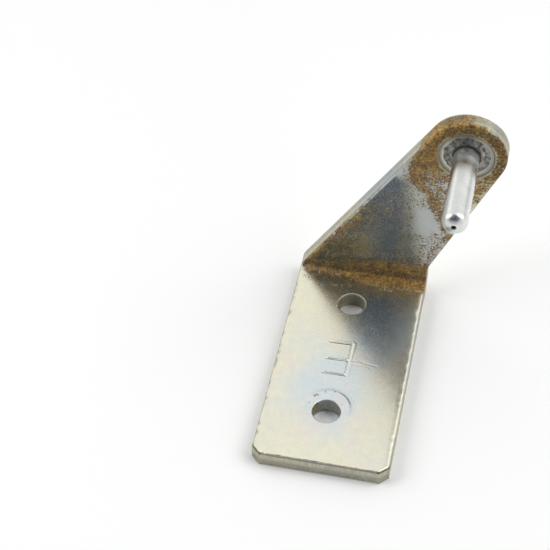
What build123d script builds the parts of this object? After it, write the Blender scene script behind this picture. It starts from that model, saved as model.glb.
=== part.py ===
"""Dryer door hinge, right-hand: a folded steel plate bracket with a turned pin riveted into its arm.

Millimetres, +Z up. The origin is midway between the two screw holes, on the underside of the
base. The arm stands at the back (+Y), leans sideways towards +X, and carries the pin, which
points forward (-Y) over the base. The door turns on the pin's free end.
"""

from build123d import *
import math
import os

# Plate
plate_thickness = 4.0
inside_bend_radius = 1.0
outside_bend_radius = inside_bend_radius + plate_thickness
rolled_edge_radius = 0.6  # rounding that the punch leaves round the inner faces

# Base
base_width = 32.0
base_length = 64.0  # from the front edge to the back face of the arm
front_corner_chamfer = 2.0

# Screw holes
screw_hole_diameter = 6.6
screw_hole_spacing = 34.4
screw_hole_front_margin = 15.1  # front hole's centre to the front edge of the base
screw_hole_side_margin = 15.0  # hole centres to the left side of the base
screw_hole_roll = 0.35

# Arm
pin_height = 48.2  # pin axis above the underside of the base
pin_side_offset = 38.5  # pin axis from the left side of the base
head_radius = 9.4  # round the pin's axis
left_edge_rise = 0.3  # where the slanted left edge starts, above the top of the base
right_edge_rise = 5.2
left_corner_radius = 3.0
right_corner_radius = 3.0

# Worn ring that the door's bush has rubbed into the arm round the pin
wear_ring_radius = 6.5
wear_ring_depth = 0.15

# Pin
pin_diameter = 6.0
pin_reach = 23.4  # from the face of the arm to the tip
pin_shoulder_radius = 1.7
pin_crown_radius = 5.5
centre_hole_diameter = 1.2
centre_hole_depth = 1.3
centre_hole_cone_angle = 60.0
root_relief_depth = 0.3  # a turned neck at the root, so that a bush can come up to the arm
root_relief_length = 0.5  # from the face of the arm
seat_depth = 0.5  # how far the pin's root is let into the arm
seat_ring_width = 0.35  # open chamfer that shows round the pin's root
spigot_diameter = 4.5
spigot_clearance = 0.0  # the spigot is upset until it fills its hole
rivet_head_diameter = 7.5
rivet_sink_depth = 1.2
rivet_head_rise = 0.4

# Places that follow from the sizes above
left_x = -screw_hole_side_margin
right_x = left_x + base_width
front_y = -screw_hole_spacing / 2 - screw_hole_front_margin
back_y = front_y + base_length
arm_face_y = back_y - plate_thickness
pin_x = left_x + pin_side_offset
pin_radius = pin_diameter / 2
neck_radius = pin_radius - root_relief_depth
pin_place = Location((pin_x, arm_face_y, pin_height), (90, 0, 0))  # turns up into forward
overshoot = 1.0  # how far a cut runs past the plate, so that it cuts clean through


def side_profile():
    """The folded plate seen from the side: an L with a rounded inside and outside of the bend."""
    face = make_face(
        Polyline(
            (front_y, 0),
            (back_y, 0),
            (back_y, pin_height + head_radius),
            (arm_face_y, pin_height + head_radius),
            (arm_face_y, plate_thickness),
            (front_y, plate_thickness),
            close=True,
        )
    )
    outside = face.vertices().sort_by_distance(Vector(back_y, 0, 0))[0]
    face = fillet(outside, outside_bend_radius)
    inside = face.vertices().sort_by_distance(Vector(arm_face_y, plate_thickness, 0))[0]
    return fillet(inside, inside_bend_radius)


def tangent_point(start_x, start_z, side):
    """Where a straight edge from a point of the plate touches the round head; side is -1 left, 1 right."""
    reach = math.hypot(pin_x - start_x, pin_height - start_z)
    bearing = math.atan2(pin_height - start_z, pin_x - start_x)
    turn = bearing - side * math.asin(head_radius / reach)
    run = math.sqrt(reach**2 - head_radius**2)
    return start_x + run * math.cos(turn), start_z + run * math.sin(turn)


def round_corner(face, corner, radius):
    """Rounds the corner of the face that lies at this place."""
    return fillet(face.vertices().sort_by_distance(Vector(*corner, 0))[0], radius)


def front_outline():
    """The bracket seen from the front: the base's width, two slanted edges and the round head."""
    left_start = (left_x, plate_thickness + left_edge_rise)
    right_start = (right_x, plate_thickness + right_edge_rise)
    left_touch = tangent_point(*left_start, side=-1)
    right_touch = tangent_point(*right_start, side=1)
    head_top = (pin_x, pin_height + head_radius)
    face = make_face(
        Curve() + [
            Polyline(left_touch, left_start, (left_x, 0), (right_x, 0), right_start, right_touch),
            ThreePointArc(right_touch, head_top, left_touch),
        ]
    )
    face = round_corner(face, left_start, left_corner_radius)
    return round_corner(face, right_start, right_corner_radius)


def folded_plate():
    """The side profile carried across the width, cut to the front outline, with its front corners off."""
    wide = pin_x + head_radius - left_x
    plate = extrude(Plane.YZ.offset(left_x) * side_profile(), wide)
    plate &= extrude(Plane.XZ.offset(-back_y) * front_outline(), base_length)
    front_corners = plate.edges().filter_by(Axis.Z).group_by(Axis.Y)[0]
    return chamfer(front_corners, front_corner_chamfer)


def face_at(plate, point):
    """The face of the plate that lies at this place."""
    return plate.faces().sort_by_distance(Vector(*point))[0]


def rolled_edges(plate):
    """The edges round the inner faces: top of the base, inside of the bend and face of the arm."""
    base_top = face_at(plate, (0, 0, plate_thickness))
    bend = face_at(plate, (0, arm_face_y, plate_thickness))
    arm_face = face_at(plate, (pin_x, arm_face_y, pin_height))
    inner = [base_top, bend, arm_face]
    chosen = []
    for face in inner:
        for edge in face.edges():
            shared = sum(1 for other in inner for e in other.edges() if e.is_same(edge))
            if shared == 1:
                chosen.append(edge)
    return chosen


def screw_hole_places():
    """The two holes lie in line, equally far from the ends of the base."""
    return [(0, -screw_hole_spacing / 2), (0, screw_hole_spacing / 2)]


def screw_hole():
    """A punched hole: a straight wall whose upper mouth is rolled over."""
    radius = screw_hole_diameter / 2
    mouth = (radius + screw_hole_roll, plate_thickness)
    wall_top = (radius, plate_thickness - screw_hole_roll)
    cutter = Polyline(
        mouth,
        (mouth[0], plate_thickness + overshoot),
        (0, plate_thickness + overshoot),
        (0, -overshoot),
        (radius, -overshoot),
        wall_top,
    )
    profile = make_face(Curve() + [cutter, RadiusArc(wall_top, mouth, screw_hole_roll)])
    return revolve(Plane.XZ * profile, Axis.Z)


def cap_radius(rim_radius, rise):
    """Radius of the ball whose cap stands this high on a rim of this radius."""
    return (rim_radius**2 + rise**2) / (2 * rise)


def crown_and_shoulder():
    """The pin's rounded end: a shoulder arc that runs smoothly into a flatter crown."""
    shoulder_x = pin_radius - pin_shoulder_radius
    crown_centre = pin_reach - pin_crown_radius
    rise = math.sqrt((pin_crown_radius - pin_shoulder_radius) ** 2 - shoulder_x**2)
    shoulder_z = crown_centre + rise
    bearing = math.atan2(rise, shoulder_x)
    half_turn = bearing / 2
    wall_end = (pin_radius, shoulder_z)
    shoulder_middle = (
        shoulder_x + pin_shoulder_radius * math.cos(half_turn),
        shoulder_z + pin_shoulder_radius * math.sin(half_turn),
    )
    meet = (pin_crown_radius * math.cos(bearing), crown_centre + pin_crown_radius * math.sin(bearing))
    hole_radius = centre_hole_diameter / 2
    middle_x = (meet[0] + hole_radius) / 2
    crown_middle = (middle_x, crown_centre + math.sqrt(pin_crown_radius**2 - middle_x**2))
    hole_mouth = (hole_radius, crown_centre + math.sqrt(pin_crown_radius**2 - hole_radius**2))
    shoulder = ThreePointArc(wall_end, shoulder_middle, meet)
    crown = ThreePointArc(meet, crown_middle, hole_mouth)
    return shoulder, crown, wall_end, hole_mouth


def pin_section():
    """Half section of the pin: X is the radius, Y the distance forward from the arm's face."""
    shoulder, crown, wall_end, hole_mouth = crown_and_shoulder()
    cone_depth = hole_mouth[0] / math.tan(math.radians(centre_hole_cone_angle / 2))
    hole_wall_end = hole_mouth[1] - (centre_hole_depth - cone_depth)
    head = rivet_head_diameter / 2
    back = -plate_thickness
    ball = cap_radius(head, rivet_head_rise)
    head_middle = (head / 2, back - rivet_head_rise + ball - math.sqrt(ball**2 - (head / 2) ** 2))
    stem = Polyline(
        wall_end,
        (pin_radius, root_relief_length),
        (neck_radius, root_relief_length - root_relief_depth),
        (neck_radius, -seat_depth),
        (spigot_diameter / 2, -seat_depth),
        (spigot_diameter / 2, back + rivet_sink_depth),
        (head, back),
    )
    formed_head = ThreePointArc((head, back), head_middle, (0, back - rivet_head_rise))
    centre_hole = Polyline(
        (0, back - rivet_head_rise),
        (0, hole_wall_end - cone_depth),
        (hole_mouth[0], hole_wall_end),
        hole_mouth,
    )
    return make_face(Curve() + [stem, formed_head, centre_hole, crown, shoulder])


def hinge_pin():
    """The pin is turned about its axis, so it is one revolved section."""
    return pin_place * revolve(Plane.XZ * pin_section(), Axis.Z)


def pin_seat():
    """What is cut from the arm: the worn ring, the open chamfer, the seat, the spigot's hole and its sink."""
    chamfer_mouth = pin_radius + seat_ring_width
    spigot_hole = spigot_diameter / 2 + spigot_clearance
    sink = rivet_head_diameter / 2 + spigot_clearance
    section = make_face(
        Polyline(
            (0, overshoot),
            (wear_ring_radius, overshoot),
            (wear_ring_radius, 0),
            (wear_ring_radius - wear_ring_depth, -wear_ring_depth),
            (chamfer_mouth, -wear_ring_depth),
            (neck_radius, -seat_depth),
            (spigot_hole, -seat_depth),
            (spigot_hole, -plate_thickness + rivet_sink_depth),
            (sink, -plate_thickness),
            (sink, -plate_thickness - overshoot),
            (0, -plate_thickness - overshoot),
            close=True,
        )
    )
    return pin_place * revolve(Plane.XZ * section, Axis.Z)


def bracket():
    """The folded plate with rolled edges, the screw holes and the seat of the pin."""
    plate = folded_plate()
    plate = fillet(rolled_edges(plate), rolled_edge_radius)
    for place in screw_hole_places():
        plate -= Pos(*place, 0) * screw_hole()
    return plate - pin_seat()


def write(name, shape):
    """One STEP file per piece, named after it."""
    os.makedirs("parts", exist_ok=True)
    export_step(shape, f"parts/{name}.step")


write("bracket", bracket())
write("hinge_pin", hinge_pin())
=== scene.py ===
# %% [markdown]
# # A worn door hinge bracket
#
# This lesson dresses a small hinge in Blender: a thick folded steel plate that carries a riveted
# pin. The shape comes from a CAD model in metres, which is loaded first and never moved. Everything
# that is added lies in the same place and at the same size, so nothing has to be fitted.

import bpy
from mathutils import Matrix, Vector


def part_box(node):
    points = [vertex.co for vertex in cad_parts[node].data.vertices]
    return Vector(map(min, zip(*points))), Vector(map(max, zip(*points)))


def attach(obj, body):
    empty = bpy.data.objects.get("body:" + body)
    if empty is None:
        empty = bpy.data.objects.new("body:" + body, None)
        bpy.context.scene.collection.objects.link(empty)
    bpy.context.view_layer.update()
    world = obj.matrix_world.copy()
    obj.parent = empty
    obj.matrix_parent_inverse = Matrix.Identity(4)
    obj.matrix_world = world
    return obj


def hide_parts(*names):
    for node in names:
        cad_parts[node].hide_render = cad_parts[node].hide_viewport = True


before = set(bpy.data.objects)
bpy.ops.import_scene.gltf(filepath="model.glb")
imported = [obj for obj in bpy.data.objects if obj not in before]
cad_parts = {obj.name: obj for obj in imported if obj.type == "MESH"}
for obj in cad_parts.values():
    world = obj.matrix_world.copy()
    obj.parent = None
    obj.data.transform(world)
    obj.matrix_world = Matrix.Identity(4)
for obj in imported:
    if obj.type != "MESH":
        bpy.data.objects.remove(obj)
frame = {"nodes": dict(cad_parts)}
print(len(frame["nodes"]), "CAD nodes:", ", ".join(frame["nodes"]))

# %% [markdown]
# The numbers of a small metal part are easier to read in millimetres, while Blender works in
# metres, so every size below is written in millimetres and multiplied once.

# %% Units
import math

import bmesh
import bpy
import numpy as np
from mathutils import Matrix, Vector

MM = 0.001
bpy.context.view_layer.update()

# %% [markdown]
# ## The camera
#
# The hinge lies on a pale table and is seen from its front, a little from the right and from above.
# A camera is easiest to understand as a point it looks at, two angles, a distance and a small roll.
# A long lens from near by gives the mild perspective of a product picture.

# %% Camera
aim_mm = (-21.44, 26.67, 0.0)
camera_azimuth = math.radians(11.97)
camera_elevation = math.radians(46.86)
camera_roll = math.radians(-0.25)
camera_distance_mm = 408.5
sensor_mm = 36.0
focal_px = 1600.0
image_px = 550

outward = Vector((
    math.cos(camera_elevation) * math.sin(camera_azimuth),
    -math.cos(camera_elevation) * math.cos(camera_azimuth),
    math.sin(camera_elevation),
))
lens = bpy.data.cameras.new("camera")
lens.sensor_fit = "HORIZONTAL"
lens.sensor_width = sensor_mm
lens.lens = sensor_mm * focal_px / image_px
lens.clip_start = 0.01
camera = bpy.data.objects.new("camera", lens)
stand = (Vector(aim_mm) + camera_distance_mm * outward) * MM
turn = outward.to_track_quat("Z", "Y").to_matrix() @ Matrix.Rotation(camera_roll, 3, "Z")
camera.matrix_world = Matrix.Translation(stand) @ turn.to_4x4()
bpy.context.scene.collection.objects.link(camera)
bpy.context.scene.camera = camera
print("camera at", [round(v / MM, 1) for v in stand], "mm, lens", round(lens.lens, 1))

# %% [markdown]
# ## Two helpers for materials
#
# Colours are easiest to pick as the hex codes of a colour picker, but Blender's sockets hold linear
# light, so one function turns one into the other. A second one adds a node, sets its options, and
# fills its sockets with values or with links. A whole node may stand for its output, which keeps a
# material readable as a list of steps. Three groups of options come back often, so they get names.

# %% Colour and node helpers
def linear(code):
    """Turns a hex colour such as "#C8C5B4" into linear red, green and blue, with alpha 1."""
    part = np.array([int(code[i : i + 2], 16) for i in (1, 3, 5)]) / 255
    light = np.where(part <= 0.04045, part / 12.92, ((part + 0.055) / 1.055) ** 2.4)
    return (*light.tolist(), 1.0)


def add(tree, kind, sockets=None, **settings):
    """Adds a node. Settings are its own options; sockets maps an input, by its name or its place,
    to a value, to an output, or to a node, whose first output in use is then taken."""
    node = tree.nodes.new("ShaderNode" + kind)
    for name, value in settings.items():
        setattr(node, name, value)
    for key, value in (sockets or {}).items():
        named = [socket for socket in node.inputs if socket.enabled and socket.name == key]
        socket = named[0] if named else node.inputs[key]
        if isinstance(value, bpy.types.Node):
            value = next(output for output in value.outputs if output.enabled)
        if isinstance(value, bpy.types.NodeSocket):
            tree.links.new(value, socket)
        else:
            socket.default_value = value
    return node


smooth = {"interpolation_type": "SMOOTHSTEP"}
in_colour = {"data_type": "RGBA"}
multiplied = {"data_type": "RGBA", "blend_type": "MULTIPLY"}


def new_material(name):
    """A material of this name and its node tree, which is still empty."""
    material = bpy.data.materials.new(name)
    material.use_nodes = True
    material.node_tree.nodes.clear()
    return material, material.node_tree


print("#808080 is", round(linear("#808080")[0], 3), "in linear light")

# %% [markdown]
# ## The plate, ready for wear
#
# The real bracket is one blank, punched from 4 mm steel strip, folded once and zinc plated. Its CAD
# solid has the true shape, but only a few large triangles on each flat face, and those can't carry
# a stamped mark, a scratch or a map of the rust. So a copy of it is welded, its flat faces are made
# whole, and it is sliced along many planes, as if graph paper were laid over it. Slicing keeps every
# edge of the CAD solid exactly where it was, which remeshing would not do.

# %% Weld and slice a copy of the bracket
grid_pitch = 0.7
weld_gap = 0.001
on_plane_m = 1e-8
flat_angle = math.radians(0.5)

plate = bmesh.new()
plate.from_mesh(frame["nodes"]["bracket"].data)
bmesh.ops.remove_doubles(plate, verts=plate.verts, dist=weld_gap * MM)
bmesh.ops.dissolve_limit(plate, angle_limit=flat_angle, verts=plate.verts, edges=plate.edges)


def slice_between(parts, axis, low, high, pitch):
    """Cuts parts of the plate along planes across one axis, a pitch apart, and returns the parts."""
    way = [0.0, 0.0, 0.0]
    way[axis] = 1.0
    for place in np.arange(low + pitch / 2, high, pitch):
        at = [place * MM * part for part in way]
        cut = bmesh.ops.bisect_plane(plate, geom=parts, dist=on_plane_m, plane_co=at, plane_no=way)
        parts = cut["geom"]
    return parts


low_mm, high_mm = (np.array(corner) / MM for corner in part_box("bracket"))
everything = plate.verts[:] + plate.edges[:] + plate.faces[:]
for axis in range(3):
    everything = slice_between(everything, axis, low_mm[axis], high_mm[axis], grid_pitch)
print("sliced plate:", len(plate.faces), "faces")

# %% [markdown]
# A stamped mark, a scratched ring, a worn ring and a nicked edge need a finer grid than the rest.
# The faces in a box round each of them are found by their middles and sliced again, so that the
# mesh is fine only where something small happens.

# %% Finer zones
base_left, base_right, base_top = -15.0, 17.0, 4.0
arm_face = 27.7
front_hole = (0.0, -17.2)
back_hole = (0.0, 17.2)
pin_middle = (23.5, 48.2)
fine_zones = [
    # lowest corner, highest corner, pitch along x, y and z (nothing where it isn't sliced)
    ("stamped mark", (-4.4, -7.4, 3.9), (3.8, 6.0, 4.1), (0.15, 0.15, None)),
    ("scratches", (3.8, -3.4, 3.9), (9.6, 1.0, 4.1), (0.17, 0.15, None)),
    ("washer's ring", (-8.4, -24.6, 3.3), (7.0, -9.6, 4.1), (0.26, 0.26, None)),
    ("back hole's burr", (-4.7, 12.5, 3.3), (4.7, 21.9, 4.1), (0.28, 0.28, None)),
    ("worn ring", (16.4, 27.5, 41.1), (30.6, 28.3, 55.3), (0.23, None, 0.23)),
    ("left edge", (-15.1, -31.8, 2.4), (-13.7, 27.0, 4.1), (0.25, 0.3, None)),
    ("right edge", (15.1, -31.8, 2.4), (17.1, 27.0, 4.1), (0.25, 0.35, None)),
    ("front edge", (-15.1, -32.4, 2.4), (17.1, -31.0, 4.1), (0.3, 0.28, None)),
]
most_corners = 4


def zone_parts(low, high):
    """The faces whose middles lie in a box, with their edges and corners."""
    faces = []
    for face in plate.faces:
        middle = face.calc_center_median() / MM
        if all(low[axis] < middle[axis] < high[axis] for axis in range(3)):
            faces.append(face)
    edges = {edge for face in faces for edge in face.edges}
    corners = {corner for face in faces for corner in face.verts}
    return list(corners) + list(edges) + faces


for name, low, high, pitches in fine_zones:
    parts = zone_parts(low, high)
    for axis, pitch in enumerate(pitches):
        if pitch:
            parts = slice_between(parts, axis, low[axis], high[axis], pitch)
    print(name, "ends with", len(plate.faces), "faces")
bmesh.ops.triangulate(plate, faces=[face for face in plate.faces if len(face.verts) > most_corners])

# %% [markdown]
# ## The blank, laid flat
#
# Wear follows the steel round the bend, so each point of the plate gets its place on the unfolded
# blank: how far across it lies, how far along, and how deep below the inner face. On the base the
# way along is Y, on the arm it is Z, and in the bend it is the angle turned, times the radius.
# Stored as an attribute, this place also drives the material, which then has no seam at the bend.

# %% The sliced plate as arrays
plate_mesh = bpy.data.meshes.new("bracket_plate")
plate.to_mesh(plate_mesh)
plate.free()
plate_mesh.validate()
if "custom_normal" in plate_mesh.attributes:
    plate_mesh.attributes.remove(plate_mesh.attributes["custom_normal"])


def read(mesh, what):
    """All of a mesh's point places or normals as one array of rows."""
    flat = np.empty(len(mesh.vertices) * 3)
    mesh.vertices.foreach_get(what, flat)
    return flat.reshape(-1, 3)


spot = read(plate_mesh, "co") / MM
normal = read(plate_mesh, "normal")
print("the plate has", len(spot), "points")

# %% [markdown]
# Two short functions shape nearly every map in this lesson: a ramp, which rises straight from 0 to
# 1 between two values, and a bell, which is 1 at one value and fades on both sides. The plate's
# inner face, where the wear is, and its cut rim are told apart by how a point's normal lies to the
# blank's thickness.

# %% Place of every point on the flat blank
def ramp(value, start, end):
    """0 up to the start, 1 from the end on, and a straight rise between; the end may be the lower."""
    return np.clip((value - start) / (end - start), 0, 1)


def bell(value, middle, half_width):
    """1 at the middle, 0.37 a half width away: e to the power of minus the squared distance."""
    return np.exp(-(((value - middle) / half_width) ** 2))


inside_radius = 1.0
bend_y = arm_face - inside_radius
bend_z = base_top + inside_radius
quarter_turn = math.pi / 2 * inside_radius

across, back, height = spot.T
behind = np.maximum(back - bend_y, 0)
below = np.maximum(bend_z - height, 0)
angle = np.arctan2(behind, below)
along = np.minimum(back, bend_y) + angle * inside_radius + np.maximum(height - bend_z, 0)
depth = np.hypot(behind, below) - inside_radius
blank = np.stack([across, along], axis=1)

inward = np.stack([np.zeros_like(angle), -np.sin(angle), np.cos(angle)], axis=1)
facing = np.einsum("ij,ij->i", normal, inward)
inner = ramp(facing, 0.2, 0.8) * (depth < 0.7)
rim = ramp(np.abs(facing), 0.8125, 0.1875)
print("the blank is", round(float(np.ptp(along)), 1), "mm long when it is unfolded")

# %% [markdown]
# ## Stamped mark, scratches, rings
#
# A stamp pushes the steel aside: it leaves a smooth groove with a low ridge on both sides. Distances
# to each line are worked out for all points at once, and the points are moved along the plate's
# thickness by the height of a smooth profile. The mark is a plain numeral.

# %% Stamped mark and scratches
def from_line(points, line):
    """Shortest distance from each point to a bent line: the least over its straight runs."""
    nearest = np.full(len(points), np.inf)
    for start, end in zip(np.array(line[:-1], float), np.array(line[1:], float)):
        run = end - start
        share = np.clip((points - start) @ run / (run @ run), 0, 1)
        gap = np.linalg.norm(points - start - share[:, None] * run, axis=1)
        nearest = np.minimum(nearest, gap)
    return nearest


def groove(distance, half_width):
    """A round-bottomed hollow, 1 deep in its middle: half a cosine wave out to its half width."""
    return -0.5 * (1 + np.cos(np.pi * np.clip(distance / half_width, 0, 1)))


def ridge(distance, half_width):
    """The low bell of steel that a tool pushes up just outside its groove."""
    return bell(distance, 1.45 * half_width, 0.4 * half_width)


stamp_left, stamp_right = -2.9, 2.3
stamp_low, stamp_middle, stamp_high = -5.7, -1.1, 4.2
steep_left = np.where(across < stamp_right, 0.22, 0.52)
stamp_strokes = [
    # line, half width, depth
    ([(stamp_left, stamp_high - 0.1), (stamp_right, stamp_high + 0.1)], 0.32, 0.11),
    ([(stamp_left + 0.2, stamp_middle - 0.1), (stamp_right, stamp_middle + 0.1)], 0.32, 0.13),
    ([(stamp_left, stamp_low), (stamp_right, stamp_low + 0.1)], 0.32, 0.13),
    ([(stamp_right, stamp_high), (stamp_right, stamp_low)], steep_left, 0.13),
]
ridge_share, groove_starts = 0.2, -0.03
sunk, pushed = np.zeros(len(spot)), np.zeros(len(spot))
for line, half_width, stroke_depth in stamp_strokes:
    distance = from_line(blank, line)
    sunk = np.minimum(sunk, stroke_depth * groove(distance, half_width))
    pushed = np.maximum(pushed, ridge_share * stroke_depth * ridge(distance, half_width))
lift = sunk + pushed * (sunk > groove_starts)

scratches = [
    # line, half width, depth
    ([(3.4, -0.9), (5.6, -0.8), (7.4, -1.3), (9.2, -1.4)], 0.26, 0.018),
    ([(3.6, -1.9), (6.4, -2.0)], 0.22, 0.015),
    ([(4.6, -0.2), (8.2, -2.6)], 0.2, 0.012),
    ([(2.9, -3.6), (3.3, 1.2)], 0.2, 0.03),
]
for line, half_width, scratch_depth in scratches:
    lift += scratch_depth * groove(from_line(blank, line), half_width)
print("deepest stroke", round(float(-sunk.min()), 2), "mm")

# %% [markdown]
# The washer under the front screw has left a shallow turned line, which shows on its far side only.
# The door's bush has rubbed a stepped ring into the arm: a sunk floor between a low collar beside
# the pin and a lip outside, and past the lip, on the right, one more turned line.

# %% Washer's ring and worn ring
def polar(first, second, middle):
    """Distance and angle in degrees round a point."""
    over, up = first - middle[0], second - middle[1]
    return np.hypot(over, up), np.degrees(np.arctan2(up, over))


washer_middle, washer_radius, washer_half_width = (0.2, -15.95), 5.4, 0.36
washer_far, washer_angle = polar(across, along, washer_middle)
washer_seen = ramp(washer_angle, -25, 35) * ramp(washer_angle, 160, 100)
washer_line = np.abs(washer_far - washer_radius)
turned_in = 0.07 * groove(washer_line, washer_half_width)
turned_up = 0.03 * ridge(washer_line, washer_half_width)
lift += (turned_in + turned_up) * washer_seen

head_far, head_angle = polar(across, height, pin_middle)
on_face = (depth < 1.0) & (height > 30)
collar_edge, collar_crest, lip_inside, lip_middle, outer_line = 3.6, 3.8, 5.75, 6.1, 8.1
floor_depth, crest_height, lip_height, outer_depth = 0.11, 0.1, 0.02, 0.04
ring_floor = ramp(head_far, lip_inside, lip_inside - 0.3) * on_face
lift -= floor_depth * ring_floor * ramp(head_far, collar_edge, collar_edge + 0.4)
lift += crest_height * bell(head_far, collar_crest, 0.28) * on_face
lift += lip_height * bell(head_far, lip_middle, 0.26) * on_face
outer_seen = ramp(np.abs(head_angle), 60, 40) * on_face
lift += outer_depth * groove(np.abs(head_far - outer_line), 0.3) * outer_seen
worn_band = ramp(head_far, 5.6, 5.8) * ramp(head_far, 7.1, 6.6)
ring_lip = (0.8 * worn_band + 0.2 * bell(head_far, collar_edge, 0.24)) * on_face
print("points on the worn ring", int((ring_floor > 0).sum()))

# %% [markdown]
# Punching rolls the base's upper edges over, on the right twice as far as on the left. Pits, nicks
# and burrs are all the same thing: small round bells, pushed in or out along the surface's own
# normal. Their places come from a seeded generator, so every run gives the same ones.

# %% Rolled edges, nicks and dents
roll_width, roll_right, roll_left = 1.7, 0.16, 0.08
edge_gap = np.minimum(base_right - across, across - base_left)
roll = ramp(edge_gap, roll_width, 0) ** 2 * ramp(back, 26, 23) * (height > 2)
lift -= roll_right * roll * (across > 0) + roll_left * roll * (across < 0)

chance = np.random.default_rng(11)


def rows(x, y, z):
    """Places as rows of x, y and z; a single number is repeated for all of them."""
    return np.stack(np.broadcast_arrays(x, y, z), axis=1)


def bells(middles, radii, heights):
    """Sum of round bells at the given places. Each bell only touches the points that lie near it."""
    reach_in_radii = 2.5
    total = np.zeros(len(spot))
    for middle, radius, top in zip(middles, radii, heights):
        near = np.abs(spot - middle).max(axis=1) < reach_in_radii * radius
        gap = np.linalg.norm(spot[near] - middle, axis=1)
        total[near] += top * bell(gap, 0, radius)
    return total


count = 34
nick_y = chance.uniform(-30.5, 22.0, count)
nicks = rows(chance.normal(-14.8, 0.16, count), nick_y, 3.75)
dents = bells(nicks, chance.uniform(0.25, 0.8, count), -chance.triangular(0.015, 0.03, 0.11, count))
right_side = rows(chance.normal(16.7, 0.1, count), chance.uniform(-30, 24, count), 3.8)
dents += bells(right_side, chance.uniform(0.4, 1.0, count), -chance.uniform(0.01, 0.055, count))
front_side = rows(chance.uniform(-13, 15, count), chance.normal(-32.1, 0.1, count), 3.8)
dents += bells(front_side, chance.uniform(0.3, 0.7, count), -chance.uniform(0.02, 0.09, count))
print("deepest nick", round(float(-dents.min()), 2), "mm")

# %% [markdown]
# The ring's floor is eaten by pits, a few more lie under the washer's edge, and a broken burr runs
# along most of the back hole's mouth. Then all heights are added up, and the points move once.

# %% Pits and burrs
count = 80
pit_turn = chance.uniform(0, 2 * np.pi, count)
pit_far = chance.triangular(3.5, 5.0, 5.7, count)
pit_x = pin_middle[0] + pit_far * np.cos(pit_turn)
pit_z = pin_middle[1] + pit_far * np.sin(pit_turn)
pits = rows(pit_x, arm_face + 0.2, pit_z)
ring_pits = bells(pits, chance.uniform(0.2, 0.42, count), -chance.uniform(0.03, 0.12, count))
dents += ring_pits * on_face

washer_pits = np.array([
    # x, y, radius
    (-1.1, -11.4, 0.4), (-3.0, -12.7, 0.45), (-3.5, -13.1, 0.35),
    (-4.6, -15.4, 0.45), (1.1, -11.0, 0.25), (3.2, -14.4, 0.22),
])
washer_pit_x, washer_pit_y, washer_pit_radii = washer_pits.T
washer_pit_depths = np.full(len(washer_pits), -0.1)
washer_dents = bells(rows(washer_pit_x, washer_pit_y, base_top), washer_pit_radii, washer_pit_depths)
dents += washer_dents

count, burr_far = 26, 3.45
burr_turn = chance.uniform(-0.35, 1.25, count) * np.pi
burr_x = back_hole[0] + burr_far * np.cos(burr_turn)
burr_y = back_hole[1] + burr_far * np.sin(burr_turn)
burrs = rows(burr_x, burr_y, 3.9)
burr = bells(burrs, chance.uniform(0.22, 0.42, count), chance.uniform(0.02, 0.07, count))
moved = spot + inward * (lift * inner)[:, None] + normal * (dents + burr)[:, None]
plate_mesh.vertices.foreach_set("co", (moved * MM).ravel())
print("furthest move", round(float(np.abs(moved - spot).max()), 2), "mm")

# %% [markdown]
# ## Where the rust is
#
# Zinc goes first where the steel was stretched, rubbed or cut: along the bend, at the sheared edges
# and round the pin. The map is a list of strokes on the flat blank, each with a width, a strength
# and a tone from dark brown to ochre. A soft bell round each stroke says how likely rust is there,
# and the material breaks that up with fine noise, so the strokes themselves never show.

# %% Strokes of rust
arm_shift = bend_y + quarter_turn - bend_z


def on_arm(*points):
    """Points given as across and height on the arm, as places on the blank."""
    return [(x, z + arm_shift) for x, z in points]


def arc_on_arm(radius, start, end):
    """Points on a circle round the pin, from one angle to another, as places on the blank."""
    turns = np.radians(np.linspace(start, end, 13))
    x, z = pin_middle[0] + radius * np.cos(turns), pin_middle[1] + radius * np.sin(turns)
    return on_arm(*zip(x.tolist(), z.tolist()))


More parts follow.
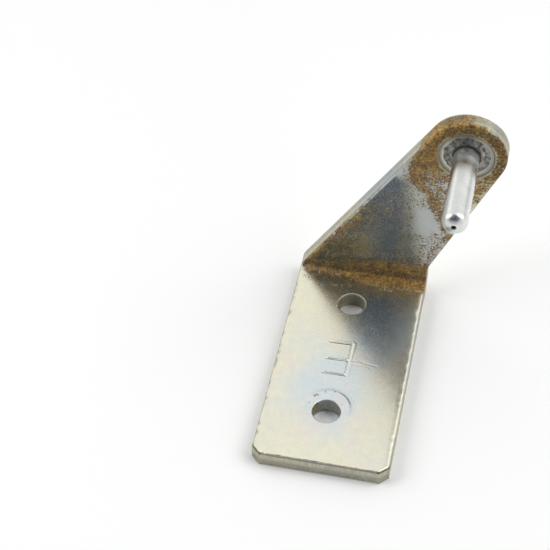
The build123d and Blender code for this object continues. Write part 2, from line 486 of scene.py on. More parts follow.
crooked_run = on_arm(
    (11.8, 42), (13.4, 38.6), (14.8, 36.4), (16.4, 34.2), (17.8, 31.6), (18.6, 29.3), (19, 27)
)
rust_strokes = [
    # line, half width, strength, tone
    (on_arm((-14, 5.8), (16.5, 5.8)), 1.5, 0.84, 0.2),
    (on_arm((-2, 7.4), (4, 7.4)), 1.8, 0.6, 0.34),
    (on_arm((4, 7.6), (16.5, 8.0)), 2.8, 0.84, 0.36),
    (on_arm((-8, 8.6), (5, 8.4)), 1.6, 0.36, 0.5),
    (on_arm((-13.6, 6.6), (-10.8, 10.5), (-8.6, 14)), 1.6, 0.62, 0.5),
    (on_arm((-9.6, 13), (-6, 17.5), (-4, 20)), 2.8, 0.54, 0.42),
    (on_arm((-4, 20), (-1.6, 24), (0.4, 27)), 2.0, 0.5, 0.55),
    (on_arm((-8, 12), (-1, 17)), 4.0, 0.34, 0.6),
    (on_arm((12.8, 43.8), (14.2, 47), (15.6, 51), (17, 54.5)), 2.4, 0.95, 0.42),
    (on_arm((14, 45), (16.8, 48)), 2.6, 0.8, 0.42),
    (on_arm((13.4, 41.6), (14.6, 42.5), (17.5, 43.5)), 2.4, 0.62, 0.55),
    (arc_on_arm(8.0, 200, 130), 2.4, 0.7, 0.3),
    (arc_on_arm(8.0, 130, 40), 2.4, 0.9, 0.2),
    (arc_on_arm(8.0, 40, -25), 2.4, 0.74, 0.22),
    (arc_on_arm(8.0, -25, -75), 2.4, 0.56, 0.32),
    (crooked_run, 1.9, 0.72, 0.4),
    (on_arm((12.8, 41), (14.4, 36.5), (17, 33.5)), 3.4, 0.5, 0.48),
    (on_arm((15.5, 39.5), (20, 41)), 3.6, 0.56, 0.45),
    (on_arm((17.5, 37), (20.5, 33)), 3.4, 0.5, 0.4),
    (on_arm((25.4, 34.5), (31, 43.5)), 2.2, 0.5, 0.35),
    (on_arm((19.6, 26), (20.6, 23.5), (21.3, 21)), 1.6, 0.62, 0.4),
    (on_arm((20.4, 20.5), (18.4, 15.5), (16.8, 11)), 2.0, 0.48, 0.4),
    (on_arm((14.8, 19.5), (14.6, 11)), 2.6, 0.42, 0.42),
    (on_arm((17.6, 21), (17.6, 14)), 3.4, 0.38, 0.35),
    (on_arm((-5, 13), (6, 30)), 8.0, 0.36, 0.42),
    (on_arm((11, 12), (10.5, 40)), 3.8, 0.37, 0.42),
    (on_arm((14, 37), (14.6, 31)), 2.6, 0.4, 0.5),
    (on_arm((27, 42), (30.5, 45)), 2.2, 0.4, 0.3),
    (on_arm((26.6, 37.4), (29.4, 41)), 1.4, 0.66, 0.5),
    (on_arm((0.6, 31), (4.4, 26.2)), 1.6, 0.38, 0.5),
    (on_arm((3, 27), (12, 23)), 3.8, 0.28, 0.3),
    (on_arm((-4, 20), (2, 26)), 3.6, 0.38, 0.38),
    (on_arm((-8, 12), (6, 11)), 3.6, 0.34, 0.34),
    (on_arm((2, 17), (8, 15)), 3.4, 0.24, 0.3),
    ([(-13.5, 27.2), (0, 27.2)], 1.0, 0.74, 0.5),
    ([(-2, 27.0), (16.2, 26.8)], 1.5, 0.88, 0.46),
    ([(2, 25.7), (16.2, 25.4)], 1.5, 0.72, 0.5),
    ([(-10, 26.0), (-1, 26.2)], 0.7, 0.4, 0.6),
    ([(5.8, 24.2), (8.6, 23.6)], 1.2, 0.46, 0.5),
    ([(-9.5, 22.2), (-5, 22.6), (1, 23.6)], 1.1, 0.34, 0.5),
    ([(13, 24.5), (16.2, 22)], 1.2, 0.4, 0.3),
    ([(-13.2, 24.4), (-12, 23.6)], 0.8, 0.4, 0.1),
]
print(len(rust_strokes), "strokes of rust")

# %% [markdown]
# Two more layers are drawn the same way: the thin brown stain that surrounds rust, and the pale
# powdery bloom on zinc that has stood wet. They have no tone of their own.

# %% Strokes of stain and bloom
film_strokes = [
    # line, half width, strength
    (on_arm((-12, 8), (12, 8)), 3.2, 0.8),
    (on_arm((-9, 12), (0, 14)), 4.6, 0.75),
    (on_arm((-3, 20), (3, 27)), 3.4, 0.55),
    (on_arm((3, 27), (9, 24)), 2.4, 0.35),
    (on_arm((2, 10.5), (12, 10.5)), 1.6, 0.5),
    (arc_on_arm(7.9, 230, -80), 2.4, 0.9),
    (on_arm((26.5, 39), (29.5, 44)), 2.6, 0.7),
    (on_arm((13, 40), (17, 46)), 4.0, 0.7),
    (on_arm((14, 36), (19, 29)), 2.0, 0.4),
    ([(-8.5, 25.6), (16, 24.8)], 1.5, 0.4),
    ([(-3, 27.0), (16.4, 26.6)], 2.0, 0.95),
    (on_arm((25, 34), (31, 43.5)), 3.0, 0.8),
]
bloom_strokes = [
    # line, half width, strength
    (on_arm((18.6, 11), (18.8, 16)), 4.1, 1.0),
    (on_arm((18.8, 16), (18.8, 24)), 5.7, 1.0),
    (on_arm((18.8, 24), (18.2, 30), (17.6, 36)), 7.0, 1.0),
    (on_arm((16.5, 36), (12, 43.5)), 4.8, 0.9),
    (on_arm((9.0, 41.0), (11, 44)), 2.6, 1.0),
    (on_arm((16, 40), (21, 40)), 3.0, 1.0),
    (on_arm((26, 40), (31, 47)), 4.0, 0.8),
]
print(len(film_strokes), "stain strokes,", len(bloom_strokes), "of bloom")

# %% [markdown]
# For the rust, the blank is first bent by slow and by quick waves, so that its outlines wander, but
# less near the bend and the ring, where the real ones are sharp. Stain also lies in a wider, unbent
# band round each stroke of rust. Nothing of this reaches the ring, which the bush keeps bare, and
# the rust fades over the last millimetre before it.

# %% From strokes to maps
def waves(wavelength, swing, seed):
    """Smooth irregular numbers over the blank: eight sine waves that run in seeded directions."""
    draw = np.random.default_rng(seed)
    total = np.zeros(len(blank))
    for _ in range(8):
        turn, phase = draw.uniform(0, 2 * np.pi, 2)
        way = np.array([np.cos(turn), np.sin(turn)]) / (wavelength * draw.uniform(0.6, 1.6))
        total += np.sin(2 * np.pi * blank @ way + phase)
    return swing * total / 2


def likelihood(strokes, points, widened=1.0):
    """How strong a mark is at each point, the largest bell of all strokes, and its tone there."""
    steepness, plain_tone = 2.4, 0.45
    most, tone = np.zeros(len(blank)), np.full(len(blank), plain_tone)
    for line, half_width, strength, *stroke_tone in strokes:
        far = from_line(points, line) / (widened * half_width)
        strong = strength * np.exp(-(far**steepness))
        if stroke_tone:
            tone = np.where(strong > most, stroke_tone[0], tone)
        most = np.maximum(most, strong)
    return most, tone


arm_height = along - arm_shift
steadier = np.maximum(0.25, ramp(arm_height, 9, 15)) * np.where(head_far < 10, 0.45, 1.0)
wavy_blank = blank + steadier[:, None] * np.stack([
    waves(6, 0.5, 21) + waves(1.9, 0.14, 22),
    waves(6, 0.45, 23) + waves(1.9, 0.14, 24),
], axis=1)

rust, tone = likelihood(rust_strokes, wavy_blank)
rust *= np.clip(1 + waves(3.2, 0.11, 25), 0.4, 1.4)
film, _ = likelihood(film_strokes, blank)
bloom, _ = likelihood(bloom_strokes, blank)
round_rust, _ = likelihood(rust_strokes, blank, 1.7)
outside_ring = np.where(on_face, ramp(head_far, 6.25, 6.45), 1.0)
beyond_ring = np.where(on_face, np.maximum(0.2, ramp(head_far, 6.3, 7.3)), 1.0)
rust = rust * outside_ring * beyond_ring
film = np.maximum(film, 0.6 * round_rust) * outside_ring
bloom = bloom * outside_ring
print("rust map: mean", round(float(rust.mean()), 3))

# %% [markdown]
# The cut rim rusts in its own way. On the upper left of the head it is ochre all over, while the
# top and the right keep their zinc. The holes are brown inside, most of all on their left, and the
# back of the bracket, which lies against the machine's frame, gets a lighter version of the map.

# %% Rim, holes and back
left_of_head = ramp(head_angle, 58, 103) * ramp(head_angle, 190, 170) * (head_far < 17)
near_face = ramp(depth, 1.3, 0.4)
near_face_rust = 0.5 * near_face * (height > 8) * ramp(head_angle, -20, 20)
rim_rust = 0.47 * left_of_head * (height > 40) + near_face_rust
rim_rust *= np.clip(1 + waves(2.4, 0.22, 26), 0.3, 1.4)
rim_film = 0.5 * (height > 6) * near_face + 0.75 * left_of_head
on_rim = rim > 0.5
rust = np.where(on_rim, np.maximum(rim_rust, 0.3 * rust), rust)
tone = np.where(on_rim, 0.52, tone)
film = np.where(on_rim, np.maximum(rim_film, 0.2 * film), film)
bloom = np.where(on_rim, 0.0, bloom)

wall_reach, wall_top = 3.5, 4.05
for hole, dirt in ((front_hole, 0.12), (back_hole, 0.0)):
    hole_far, hole_turn = polar(across, back, hole)
    wall = (hole_far < wall_reach) * (height < wall_top)
    to_left = ramp(np.abs(hole_turn), 0, 180)
    film = np.where(wall, dirt + 0.4 * to_left, film)
    rust = np.where(wall, 0.3 * dirt + 0.5 * to_left**2, rust)
    tone = np.where(wall, 0.5, tone)
    rim = np.where(wall, 0.2 * rim, rim)

outer_side = ramp(depth, 2.6, 3.6) * (rim < 0.5)
rust, film = rust * (1 - 0.45 * outer_side), film * (1 - 0.3 * outer_side)
washer_spots = ramp(-washer_dents, 0, 0.05)
rust = np.maximum(rust, 0.42 * washer_spots)
tone = np.where(washer_spots > 0.2, 0.2, tone)
print("rust map with rim, holes and back: mean", round(float(rust.mean()), 3))

# %% [markdown]
# The last maps are for the metal itself: where the passivation turns blue, where rolled and rounded
# edges have lost their gloss, and where nicks and the front corners are scuffed down to dull steel.
# The right side of the back hole's mouth gets the same dull colour as painted shade. Each map
# becomes an attribute, which the material reads by its name.

# %% Maps of the metal, and all maps stored
blue_patches = [
    # across, along, half width, half length, strength
    (5.0, arm_shift + 32, 6.0, 11.0, 0.9),
    (9.0, 10.0, 7.0, 11.0, 1.2),
]
washer_disc = ramp(washer_far, washer_radius + 0.4, washer_radius - 0.8) * (depth < 1)
blue = 0.9 * bell(across, -1, 9.5) * bell(along, -11, 13) + 0.4 * washer_disc
for patch_x, patch_y, half_width, half_length, strength in blue_patches:
    patch = strength * bell(across, patch_x, half_width) * bell(along, patch_y, half_length)
    blue = np.maximum(blue, patch)

rounded = ramp(np.abs(facing), 0.985, 0.885) * ramp(rim, 0.9, 0.8)
front_corners = (np.abs(across - 1) > 13.4) * (back < -29.6)
mouth_far, mouth_turn = polar(across, back, back_hole)
# painted shade: the right side of the back hole's mouth is darkened, not scuffed
mouth_right_painted_shade = (mouth_far < 4.0) * np.clip(0.5 + np.cos(np.radians(mouth_turn - 20)), 0, 1)
nick_and_mouth_shade = 0.6 * ramp(-dents, 0, 0.08) * (across < -14)
nick_and_mouth_shade = np.maximum(nick_and_mouth_shade, rounded * np.maximum(front_corners, 0.6 * mouth_right_painted_shade))
washer_mark = 0.5 * bell(washer_line, 0, 0.35) * washer_seen * (depth < 1)
layers = {
    "rust": rust, "tone": tone, "film": film, "bloom": bloom, "rim": rim, "blue": blue,
    "nick_and_mouth_shade": nick_and_mouth_shade, "rounded": rounded, "washer_mark": washer_mark, "ring_floor": ring_floor,
    "ring_lip": ring_lip, "pitting": ramp(-ring_pits, 0, 0.08) * ring_floor,
}


def keep(mesh, name, values):
    """Stores one number, or three, for every point of the mesh under a name a material can read."""
    kind, field = ("FLOAT", "value") if values.ndim == 1 else ("FLOAT_VECTOR", "vector")
    stored = mesh.attributes.new(name, kind, "POINT")
    stored.data.foreach_set(field, values.astype(np.float32).ravel())


for name, values in layers.items():
    keep(plate_mesh, name, values)
keep(plate_mesh, "blank", rows(across, along, depth))
turn = np.radians(head_angle)
keep(plate_mesh, "rings", rows(8 * head_far, 2 * np.cos(turn), 2 * np.sin(turn)))
print("stored", len(layers) + 2, "attributes")

# %% [markdown]
# The bracket now becomes an object. Smooth shading rounds the bend and the rolled edges, while the
# sharp edges of the cut rim are marked, so that they stay crisp.

# %% The bracket as an object
sharp_from = math.radians(50)
plate_mesh.polygons.foreach_set("use_smooth", np.ones(len(plate_mesh.polygons), bool))
plate_mesh.set_sharp_from_angle(angle=sharp_from)
bracket = bpy.data.objects.new("bracket_plate", plate_mesh)
bpy.context.scene.collection.objects.link(bracket)
steady = bracket.modifiers.new("even shading", "WEIGHTED_NORMAL")
steady.keep_sharp = True
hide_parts("bracket")
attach(bracket, "root")
print("bracket triangles", sum(len(face.vertices) - 2 for face in plate_mesh.polygons))

# %% [markdown]
# ## Zinc-plated, passivated mild steel
#
# Fresh zinc is a cool grey metal. The passivating dip gives it a thin film that shifts it to straw
# yellow with patches of pale blue and pink, so the colour changes slowly over 10 to 20 mm. It is a
# metal with a soft gloss: it mirrors the arm in the base, but blurs it.

# %% Plating
def scale_for(size_mm):
    """A noise node's scale, on coordinates in millimetres, for features of this size."""
    return 1.0 / size_mm


zinc, tree = new_material("zinc_plated_passivated_mild_steel")
place = add(tree, "Attribute", attribute_name="blank").outputs["Vector"]
maps = {name: add(tree, "Attribute", attribute_name=name).outputs["Fac"] for name in layers}

# slow patches of the passivation's colours
patches = add(tree, "TexNoise", {"Vector": place, "Scale": scale_for(11), "Detail": 3.0})
bluer = add(tree, "Math", {0: patches, 1: maps["blue"]}, operation="ADD")
blue_share = add(tree, "MapRange", {"Value": bluer, "From Min": 0.35, "From Max": 1.3}, **smooth)
blush = add(tree, "TexNoise", {
    "Vector": place, "W": 3.1, "Scale": scale_for(7), "Detail": 3.0, "Distortion": 0.6,
}, noise_dimensions="4D")
pink_share = add(tree, "MapRange", {
    "Value": blush, "From Min": 0.46, "From Max": 0.72, "To Max": 0.55}, **smooth)
straw = add(tree, "Mix", {
    "Factor": blue_share, "A": linear("#F4F0DA"), "B": linear("#DEE8EB")}, **in_colour)
plating = add(tree, "Mix", {"Factor": pink_share, "A": straw, "B": linear("#F1E5E0")}, **in_colour)

# the strip's rolling streaks, and faint cloudy wear
stretched = add(tree, "Mapping", {"Vector": place, "Scale": (1.0, 0.07, 1.0)})
streaks = add(tree, "TexNoise", {
    "Vector": stretched, "Scale": scale_for(0.4), "Detail": 5.0, "Roughness": 0.65})
cloud = add(tree, "TexNoise", {
    "Vector": place, "Scale": scale_for(2.2), "Detail": 6.0, "Roughness": 0.6})
mid_noise = {"From Min": 0.3, "From Max": 0.7}
faint = add(tree, "MapRange", {"Value": cloud, **mid_noise, "To Min": 0.95, "To Max": 1.02})
streaky = add(tree, "MapRange", {"Value": streaks, **mid_noise, "To Min": 0.97, "To Max": 1.02})
wear = add(tree, "Math", {0: faint, 1: streaky}, operation="MULTIPLY")
worn = add(tree, "Mix", {"Factor": 1.0, "A": plating, "B": wear}, **multiplied)
print("plating", len(tree.nodes), "nodes")

# %% [markdown]
# Old zinc turns matt where it has stood wet: the arm's lower right shows a pale powdery bloom that
# no longer mirrors the base. Where rust is near, a thin olive brown stain lies over the metal,
# which still shines through it. A fine noise frays both, but only where their map isn't empty.

# %% Bloom and stain
fine = add(tree, "TexNoise", {
    "Vector": place, "Scale": scale_for(0.5), "Detail": 7.0, "Roughness": 0.7})
bloom_push = add(tree, "MapRange", {"Value": fine, **mid_noise, "To Min": -0.4, "To Max": 0.4})
bloom_near = add(tree, "MapRange", {"Value": maps["bloom"], "From Max": 0.4})
bloom_sum = add(tree, "Math", {
    0: bloom_push, 1: bloom_near, 2: maps["bloom"]}, operation="MULTIPLY_ADD")
bloomed = add(tree, "MapRange", {"Value": bloom_sum, "From Min": 0.1, "From Max": 0.9}, **smooth)
matt = add(tree, "Mix", {"Factor": bloomed, "A": worn, "B": linear("#D8DCDB")}, **in_colour)

film_push = add(tree, "MapRange", {"Value": fine, **mid_noise, "To Min": -0.3, "To Max": 0.3})
film_near = add(tree, "MapRange", {"Value": maps["film"], "From Max": 0.3})
film_sum = add(tree, "Math", {0: film_push, 1: film_near, 2: maps["film"]}, operation="MULTIPLY_ADD")
stained = add(tree, "MapRange", {"Value": film_sum, "From Max": 1.1, "To Max": 0.9}, **smooth)
film_tone = add(tree, "Mix", {
    "Factor": cloud, "A": linear("#969070"), "B": linear("#B09C68")}, **in_colour)
stain = add(tree, "Mix", {"Factor": stained, "A": matt, "B": film_tone}, **in_colour)
print("with bloom and stain", len(tree.nodes), "nodes")

# %% [markdown]
# The worn ring is bare steel: grey, pitted, with hair-fine circles. Its circles come from a noise
# that reads the distance from the pin several times finer than the way round it. The band outside
# the ring is worn, darker steel, and the washer's line is a shade paler and bluer than the plating.

# %% Worn ring and washer's line
rings = add(tree, "Attribute", attribute_name="rings").outputs["Vector"]
circles = add(tree, "TexNoise", {"Vector": rings, "Scale": 0.55, "Detail": 5.0, "Roughness": 0.6})
ring_grey = add(tree, "MapRange", {"Value": circles, **mid_noise})
ring_steel = add(tree, "Mix", {
    "Factor": ring_grey, "A": linear("#7A7975"), "B": linear("#BAB9B4")}, **in_colour)
pit_sum = add(tree, "Math", {0: maps["pitting"], 1: 0.3, 2: fine}, operation="MULTIPLY_ADD")
pit_share = add(tree, "MapRange", {
    "Value": pit_sum, "From Min": 0.44, "From Max": 0.7, "To Max": 0.66}, **smooth)
ring_dark = add(tree, "Mix", {
    "Factor": pit_share, "A": ring_steel, "B": linear("#4D4B45")}, **in_colour)
ringed = add(tree, "Mix", {"Factor": maps["ring_floor"], "A": stain, "B": ring_dark}, **in_colour)
lip_steel = add(tree, "Mix", {
    "Factor": ring_grey, "A": linear("#66645E"), "B": linear("#96938A")}, **in_colour)
lipped = add(tree, "Mix", {"Factor": maps["ring_lip"], "A": ringed, "B": lip_steel}, **in_colour)
marked = add(tree, "Mix", {
    "Factor": maps["washer_mark"], "A": lipped, "B": linear("#A2ADB8")}, **in_colour)
print("with the rings", len(tree.nodes), "nodes")

# %% [markdown]
# A punched rim has two bands. Near the inner face the punch has burnished it, with streaks across
# its thickness; past about half the depth the steel has torn, which is rougher and darker. The
# rolled edges beside it and the nicks are duller than the flat face.

# %% Sheared rim, rolled edges, nicks
axes = add(tree, "SeparateXYZ", {"Vector": place}).outputs
through = add(tree, "Mapping", {"Vector": place, "Scale": (1.0, 1.0, 0.16)})
shear = add(tree, "TexNoise", {
    "Vector": through, "Scale": scale_for(0.5), "Detail": 5.0, "Roughness": 0.6})
torn = add(tree, "MapRange", {"Value": axes["Z"], "From Min": 1.5, "From Max": 2.3}, **smooth)
burnished = add(tree, "MapRange", {"Value": shear, **mid_noise, "To Min": 0.88, "To Max": 0.6})
fractured = add(tree, "MapRange", {
    "Value": fine, "From Min": 0.35, "From Max": 0.7, "To Min": 0.72, "To Max": 0.42})
rim_dark = add(tree, "Mix", {"Factor": torn, "A": burnished, "B": fractured})
rim_tint = add(tree, "Mix", {
    "Factor": cloud, "A": linear("#DCE6EC"), "B": linear("#F0E4D8")}, **in_colour)
rim_cool = add(tree, "Mix", {"Factor": 1.0, "A": marked, "B": rim_tint}, **multiplied)
rim_colour = add(tree, "Mix", {"Factor": 1.0, "A": rim_cool, "B": rim_dark}, **multiplied)
sheared = add(tree, "Mix", {"Factor": maps["rim"], "A": marked, "B": rim_colour}, **in_colour)
dulled = add(tree, "Mix", {
    "Factor": maps["rounded"], "A": linear("#FFFFFF"), "B": linear("#DADAD6")}, **in_colour)
edged = add(tree, "Mix", {"Factor": 1.0, "A": sheared, "B": dulled}, **multiplied)
# dull colour of real nicks and front corners, and painted shade on the right of the back hole's mouth
nicked_and_shaded = add(tree, "Mix", {"Factor": maps["nick_and_mouth_shade"], "A": edged, "B": linear("#8B8474")}, **in_colour)
print("with the rim", len(tree.nodes), "nodes")

# %% [markdown]
# Rust is the opposite of plating in every way: rough, not metallic, and full of small detail. It
# appears where the map and a fine noise together pass a threshold, so a weak map gives single
# specks and a strong one a closed crust. The colour passes it a little before the metal goes, or a
# half metallic, half brown edge would draw a pale halo round each speck.

# %% Rust
speckle = add(tree, "TexNoise", {
    "Vector": place, "Scale": scale_for(0.64), "Detail": 9.0, "Roughness": 0.78})
rust_push = add(tree, "MapRange", {
    "Value": speckle, **mid_noise, "To Min": -0.6, "To Max": 0.6}, clamp=False)
rust_near = add(tree, "MapRange", {"Value": maps["rust"], "From Min": 0.04, "From Max": 0.3})
rust_sum = add(tree, "Math", {0: rust_push, 1: rust_near, 2: maps["rust"]}, operation="MULTIPLY_ADD")
tinted = add(tree, "MapRange", {
    "Value": rust_sum, "From Min": 0.42, "From Max": 0.5, "To Max": 0.92}, **smooth)
rusted = add(tree, "MapRange", {
    "Value": rust_sum, "From Min": 0.48, "From Max": 0.58, "To Max": 0.94}, **smooth)

# from dark brown over brown to ochre, by the stroke's tone, a cloud and a fine noise
tone_noise = add(tree, "TexNoise", {
    "Vector": place, "W": 7.7, "Scale": scale_for(0.64), "Detail": 9.0, "Roughness": 0.8,
}, noise_dimensions="4D")
tone_push = add(tree, "MapRange", {
    "Value": tone_noise, **mid_noise, "To Min": -1.0, "To Max": 1.0}, clamp=False)
tone_patch = add(tree, "MapRange", {"Value": cloud, **mid_noise, "To Min": -0.26, "To Max": 0.26})
tone_sum = add(tree, "Math", {0: maps["tone"], 1: tone_patch}, operation="ADD")
rust_tone = add(tree, "Math", {0: tone_sum, 1: tone_push}, operation="ADD", use_clamp=True)
brown = add(tree, "MapRange", {"Value": rust_tone, "From Max": 0.45})
ochre = add(tree, "MapRange", {"Value": rust_tone, "From Min": 0.45})
dark_rust = add(tree, "Mix", {
    "Factor": brown, "A": linear("#432F13"), "B": linear("#946F30")}, **in_colour)
rust_colour = add(tree, "Mix", {
    "Factor": ochre, "A": dark_rust, "B": linear("#DCAE5C")}, **in_colour)
colour = add(tree, "Mix", {"Factor": tinted, "A": nicked_and_shaded, "B": rust_colour}, **in_colour)
print("with the rust", len(tree.nodes), "nodes")

# %% [markdown]
# Gloss follows the same layers, one after the other. The clean plating is fairly glossy but full of
# tiny matt specks, which soften its mirror images. Bloom is partly powder, so it is less metallic,
# and rust isn't metallic at all.

# %% Gloss
powdery = add(tree, "MapRange", {"Value": bloomed, "To Min": 1.0, "To Max": 0.6})
metallic = add(tree, "Mix", {"Factor": rusted, "A": powdery, "B": 0.0})
even_gloss = add(tree, "MapRange", {"Value": cloud, **mid_noise, "To Min": 0.22, "To Max": 0.26})
matt_specks = add(tree, "TexNoise", {
    "Vector": place, "W": 5.2, "Scale": scale_for(0.35), "Detail": 4.0, "Roughness": 0.7,
}, noise_dimensions="4D")
speck_share = add(tree, "MapRange", {
    "Value": matt_specks, "From Min": 0.54, "From Max": 0.7, "To Max": 0.36}, **smooth)
roughness = even_gloss
gloss_layers = [
    # where the layer is, and its roughness
    (speck_share, 0.5), (bloomed, 0.55), (stained, 0.32), (maps["ring_floor"], 0.42),
    (maps["ring_lip"], 0.45), (maps["rim"], 0.5), (maps["rounded"], 0.54), (maps["nick_and_mouth_shade"], 0.75),
    (rusted, 0.86),
]
for share, layer_roughness in gloss_layers:
    roughness = add(tree, "Mix", {"Factor": share, "A": roughness, "B": layer_roughness})
print(len(gloss_layers), "layers of gloss")

# %% [markdown]
# Each bump is given its true height in metres, and each one builds on the one below: streaks and
# slow waves on the plating, circles in the ring, torn steel on the rim, crust on the rust. One of
# them is a plain slope, a thirtieth of a millimetre down for each millimetre to the right. It leans
# the shading by 1.8 degrees, because a real folded plate is never quite flat and square, and its
# mirror images shift with it.

# %% Relief
lean = 0.032
rolled = add(tree, "Bump", {"Strength": 0.5, "Distance": 0.004 * MM, "Height": streaks})
slope = add(tree, "MapRange", {
    "Value": axes["X"], "From Min": base_left, "From Max": base_right,
    "To Min": lean * (base_right - base_left), "To Max": 0.0,
}, clamp=False)
turned_height = add(tree, "Math", {0: circles, 1: maps["ring_floor"]}, operation="MULTIPLY")
torn_height = add(tree, "Math", {0: shear, 1: maps["rim"]}, operation="MULTIPLY")
crust_height = add(tree, "Math", {0: speckle, 1: rusted}, operation="MULTIPLY")
relief = rolled
for source, strength, tall_mm in (
    (slope, 1.0, 1.0), (patches, 0.6, 0.05), (turned_height, 0.7, 0.08),
    (torn_height, 0.6, 0.1), (crust_height, 0.8, 0.22),
):
    relief = add(tree, "Bump", {
        "Strength": strength, "Distance": tall_mm * MM, "Height": source, "Normal": relief})

shader = add(tree, "BsdfPrincipled", {
    "Base Color": colour, "Metallic": metallic, "Roughness": roughness, "Normal": relief})
add(tree, "OutputMaterial", {"Surface": shader})
plate_mesh.materials.append(zinc)
print("zinc-plated steel:", len(tree.nodes), "nodes")

# %% [markdown]
# ## Turned and polished steel
#
# The pin is turned on a lathe and kept bright by the door's bush, with hair-fine marks that run
# round it and soft smears. It keeps its CAD mesh, so its material reads Object coordinates. Near the
# arm the bush doesn't reach, and the steel there is blotched and ringed; it is also painted darker
# there, partly as that stain and partly as painted shade where the pin meets the arm. Its left
# flank is painted darker too, as a painted reflection of the arm.

# %% Pin's colour
steel, tree = new_material("turned_polished_steel")
here = add(tree, "TexCoord").outputs["Object"]
in_mm = add(tree, "VectorMath", {0: here, "Scale": 1 / MM}, operation="SCALE")
axes = add(tree, "SeparateXYZ", {"Vector": in_mm}).outputs
squeezed = add(tree, "Mapping", {"Vector": in_mm, "Scale": (0.06, 4.0, 0.06)})
marks = add(tree, "TexNoise", {"Vector": squeezed, "Scale": 1.0, "Detail": 4.0, "Roughness": 0.6})
smears = add(tree, "TexNoise", {
    "Vector": in_mm, "Scale": scale_for(2.4), "Detail": 2.5, "Roughness": 0.5})
bright = add(tree, "Mix", {
    "Factor": smears, "A": linear("#CBCFCF"), "B": linear("#F3F3EF")}, **in_colour)

root = add(tree, "MapRange", {
    "Value": axes["Y"], "From Min": arm_face - 5.0, "From Max": arm_face - 1.2}, **smooth)
blotches = add(tree, "TexNoise", {
    "Vector": in_mm, "Scale": scale_for(0.9), "Detail": 4.0, "Roughness": 0.65})
root_rings = add(tree, "Math", {0: marks, 1: 0.3, 2: blotches}, operation="MULTIPLY_ADD")
root_mottle = add(tree, "Math", {0: root, 1: root_rings}, operation="MULTIPLY")
root_share = add(tree, "MapRange", {
    "Value": root_mottle, "From Min": 0.3, "From Max": 0.8, "To Max": 0.95})
# near the arm: real blotches and rings, and a darker colour that is partly painted shade where the
# pin meets the arm
root_stain_and_shade = add(tree, "Mix", {
    "Factor": root_share, "A": bright, "B": linear("#7A7D76")}, **in_colour)
# the left flank is darkened: a painted reflection of the arm
left_flank_painted_reflection = add(tree, "MapRange", {
    "Value": axes["X"], "From Min": 20.9, "From Max": 22.1, "To Min": 0.8, "To Max": 0.0}, **smooth)
pin_stain_shade_and_reflection = add(tree, "Mix", {
    "Factor": left_flank_painted_reflection, "A": root_stain_and_shade, "B": linear("#8C887D")}, **in_colour)
print("the pin's colour takes", len(tree.nodes), "nodes")

# %% [markdown]
# The pin's end has a small centre hole that the mesh doesn't have, so its shade is painted on as a
# near-black disc: the places close to the pin's axis and near its tip. The tip and the root are a
# little less glossy than the middle.

# %% Pin's centre hole and gloss
from_axis = add(tree, "VectorMath", {
    0: in_mm, 1: (pin_middle[0], 0.0, pin_middle[1])}, operation="SUBTRACT")
flat = add(tree, "VectorMath", {0: from_axis, 1: (1.0, 0.0, 1.0)}, operation="MULTIPLY")
off_axis = add(tree, "VectorMath", {0: flat}, operation="LENGTH")
in_hole = add(tree, "MapRange", {
    "Value": off_axis, "From Min": 0.5, "From Max": 0.68, "To Min": 1.0, "To Max": 0.0})
at_tip = add(tree, "MapRange", {
    "Value": axes["Y"], "From Min": 5.8, "From Max": 7.2, "To Min": 1.0, "To Max": 0.0})
# painted shade of the centre hole: a near-black disc on the axis at the tip
centre_hole_shade = add(tree, "Math", {0: in_hole, 1: at_tip}, operation="MULTIPLY")
pin_colour = add(tree, "Mix", {
    "Factor": centre_hole_shade, "A": pin_stain_shade_and_reflection, "B": linear("#24211D")}, **in_colour)

polish = add(tree, "MapRange", {"Value": smears, **mid_noise, "To Min": 0.23, "To Max": 0.3})
tip_gloss = add(tree, "Mix", {"Factor": at_tip, "A": polish, "B": 0.33})
pin_gloss = add(tree, "Mix", {"Factor": root, "A": tip_gloss, "B": 0.5})
metal_share = add(tree, "MapRange", {"Value": root, "To Min": 1.0, "To Max": 0.7})
turned = add(tree, "Bump", {"Strength": 0.4, "Distance": 0.001 * MM, "Height": marks})
shader = add(tree, "BsdfPrincipled", {
    "Base Color": pin_colour, "Metallic": metal_share, "Roughness": pin_gloss, "Normal": turned})
add(tree, "OutputMaterial", {"Surface": shader})
frame["nodes"]["hinge_pin"].material_slots[0].material = steel
print("turned steel:", len(tree.nodes), "nodes")

# %% [markdown]
# ## Table and light
#
# Bright metal shows its surroundings, so the light is part of the finish. The table is matt and
# white, and ends 140 mm in front of the origin, so that the metal can mirror the room beyond it.

# %% Table
paper, tree = new_material("matt_white_table")
here = add(tree, "TexCoord").outputs["Object"]
fibre = add(tree, "TexNoise", {"Vector": here, "Scale": scale_for(0.8) / MM, "Detail": 3.0})
pale = add(tree, "Mix", {
    "Factor": fibre, "A": linear("#F7F7F6"), "B": linear("#FAFAF9")}, **in_colour)
shader = add(tree, "BsdfPrincipled", {"Base Color": pale, "Roughness": 0.9})
add(tree, "OutputMaterial", {"Surface": shader})

reach, table_front = 1.5, -0.14
table_corners = [
    (-reach, table_front, 0), (reach, table_front, 0), (reach, reach, 0), (-reach, reach, 0)
]
table_mesh = bpy.data.meshes.new("table")
table_mesh.from_pydata(table_corners, [], [(0, 1, 2, 3)])
table_mesh.materials.append(paper)
table = bpy.data.objects.new("table", table_mesh)
bpy.context.scene.collection.objects.link(table)
print("table", 2 * reach, "m wide")

# %% [markdown]
# The room is pale all round. Two dark, bluish patches lie in front, where the camera stands: the
# plate mirrors them, and without them it would be as pale as the table. Behind and to the right are
# three patches, two bright and one grey, which draw the long highlights on the pin. All of them are
# cones with soft edges. The camera itself sees the plain backdrop. Two soft boxes hang above.

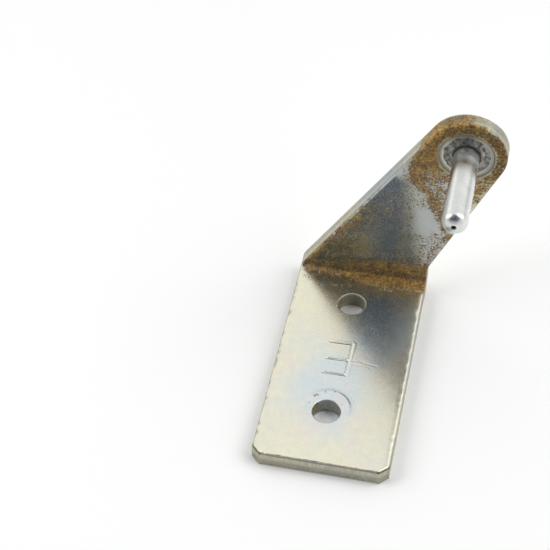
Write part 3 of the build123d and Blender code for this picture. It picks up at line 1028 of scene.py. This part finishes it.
# %% Room light
room = bpy.data.worlds.new("room")
room.use_nodes = True
bpy.context.scene.world = room
sky = room.node_tree
sky.nodes.clear()
ray = add(sky, "TexCoord").outputs["Generated"]
glow_colour = linear("#F6F6F4")
lobes = [
    # direction, angle where it is full, angle where it ends, colour
    ((-0.10, -0.98, 0.14), 20, 33, (0.05, 0.065, 0.09, 1.0)),
    ((-0.10, -0.68, 0.73), 35, 50, (0.03, 0.05, 0.085, 1.0)),
    ((-0.68, 0.69, 0.25), 5, 20, (1.22, 1.22, 1.22, 1.0)),
    ((0.32, 0.70, 0.63), 4, 14, (0.97, 0.97, 0.97, 1.0)),
    ((0.84, 0.54, 0.06), 8, 26, (0.62, 0.64, 0.67, 1.0)),
]
level = glow_colour
for direction, full, end, lobe_colour in lobes:
    way = tuple(Vector(direction).normalized())
    towards = add(sky, "VectorMath", {0: ray, 1: way}, operation="DOT_PRODUCT")
    edge, core = math.cos(math.radians(end)), math.cos(math.radians(full))
    share = add(sky, "MapRange", {"Value": towards, "From Min": edge, "From Max": core}, **smooth)
    level = add(sky, "Mix", {"Factor": share, "A": level, "B": lobe_colour}, **in_colour)
seen = add(sky, "LightPath").outputs["Is Camera Ray"]
backdrop = add(sky, "Mix", {"Factor": seen, "A": level, "B": glow_colour}, **in_colour)
glow = add(sky, "Background", {"Color": backdrop, "Strength": 0.98})
add(sky, "OutputWorld", {"Surface": glow})


def soft_box(name, direction, far_mm=900, side_mm=600, watts=2.9):
    """A square soft box hung in one direction from the hinge and turned to face it."""
    lamp = bpy.data.lights.new(name, "AREA")
    lamp.shape = "RECTANGLE"
    lamp.size, lamp.size_y, lamp.energy = side_mm * MM, side_mm * MM, watts
    box = bpy.data.objects.new(name, lamp)
    way = Vector(direction).normalized()
    turn = way.to_track_quat("Z", "Y").to_matrix().to_4x4()
    box.matrix_world = Matrix.Translation(way * far_mm * MM) @ turn
    bpy.context.scene.collection.objects.link(box)


soft_box("left_soft_box", (-0.757, -0.153, 0.636))
soft_box("right_soft_box", (0.612, 0.163, 0.773))
bpy.context.scene.view_settings.view_transform = "Standard"
print(len(lobes), "patches of light in the room, and two soft boxes")
